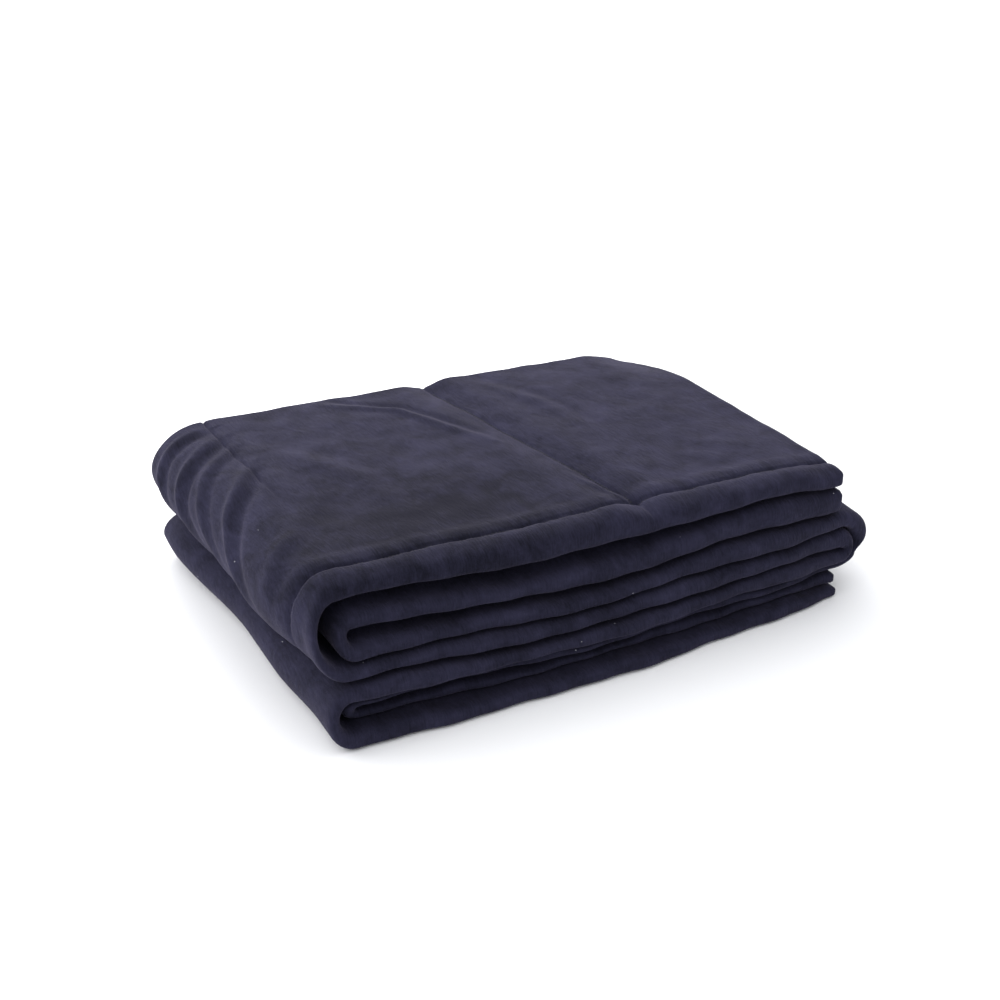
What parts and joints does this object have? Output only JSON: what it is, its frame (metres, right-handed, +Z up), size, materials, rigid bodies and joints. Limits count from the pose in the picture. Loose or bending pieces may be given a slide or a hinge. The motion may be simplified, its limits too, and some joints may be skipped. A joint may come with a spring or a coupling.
{
  "type": "infrared sauna blanket",
  "caption": "Plush heated blanket folded into a soft rectangular stack, with quilted layers, hemmed edges and a power inlet at one end.",
  "frame": {"origin": "middle of the bounding box's bottom face, on the underside of the stack", "axes": "+X along the panels, +Y from the hemmed edge towards the folded spine, +Z up"},
  "size_m": [0.5182, 0.35, 0.1209],
  "materials": {
    "plush": "short dense pile, dark navy charcoal",
    "lining": "short pile lining, dark navy charcoal",
    "wadding": "lofty off-white fibre wadding",
    "film": "satin metallised film",
    "wire": "dark silicone sleeve over carbon fibre",
    "thread": "matte sewing thread and binding",
    "moulding": "fine matte black moulding",
    "brass": "bright contact pin",
    "steel": "plain screw",
    "ceramic": "off-white heat-proof body"
  },
  "bodies": {
    "panel_1": {"face_plush_1_left": "plush", "face_plush_1_right": "plush", "head_end_hem": "plush", "heating_wire_1": "wire", "hem_thread_1": "thread", "lining_plush_1": "lining", "near_hem_1_lower": "plush", "near_hem_1_upper": "plush", "reflective_film_1": "film", "seam_binding_1": "thread", "thermal_cutout_1": "ceramic", "wadding_1": "wadding"},
    "panel_2": {"face_plush_2_left": "plush", "face_plush_2_right": "plush", "fold_1_inner": "plush", "fold_1_outer": "plush", "heating_wire_2": "wire", "hem_thread_2": "thread", "lining_plush_2": "lining", "near_hem_2_lower": "plush", "near_hem_2_upper": "plush", "reflective_film_2": "film", "seam_binding_2": "thread", "temperature_sensor": "ceramic", "thermal_cutout_2": "ceramic", "wadding_2": "wadding"},
    "panel_3": {"face_plush_3_left": "plush", "face_plush_3_right": "plush", "fold_2_inner": "plush", "fold_2_outer": "plush", "heating_wire_3": "wire", "hem_thread_3": "thread", "lining_plush_3": "lining", "near_hem_3_lower": "plush", "near_hem_3_upper": "plush", "reflective_film_3": "film", "seam_binding_3": "thread", "wadding_3": "wadding"},
    "panel_4": {"face_plush_4_left": "plush", "face_plush_4_right": "plush", "fold_3_inner": "plush", "fold_3_outer": "plush", "foot_end_hem": "plush", "heating_wire_4": "wire", "hem_thread_4": "thread", "inlet_lead_far": "wire", "inlet_lead_near": "wire", "inlet_pin_carrier": "ceramic", "inlet_pin_far": "brass", "inlet_pin_near": "brass", "inlet_screw_far": "steel", "inlet_screw_near": "steel", "inlet_shell_lower": "moulding", "inlet_shell_upper": "moulding", "lining_plush_4": "lining", "near_hem_4_lower": "plush", "near_hem_4_upper": "plush", "reflective_film_4": "film", "seam_binding_4": "thread", "wadding_4": "wadding"}
  },
  "joints": [
    {"name": "lower_left_fold", "type": "hinge", "parent": "panel_4", "child": "panel_3", "pos_m": [-0.221, 0, 0.02215], "axis": [0, -1, 0], "range_deg": [0, 179.9], "deforming": ["fold_3_outer", "fold_3_inner"]},
    {"name": "right_fold", "type": "hinge", "parent": "panel_3", "child": "panel_2", "pos_m": [0.229, 0, 0.04445], "axis": [0, 1, 0], "range_deg": [0, 179.9], "deforming": ["fold_2_outer", "fold_2_inner"]},
    {"name": "upper_left_fold", "type": "hinge", "parent": "panel_2", "child": "panel_1", "pos_m": [-0.221, 0, 0.08275], "axis": [0, -1, 0], "range_deg": [0, 179.9], "deforming": ["fold_1_outer", "fold_1_inner"]}
  ]
}
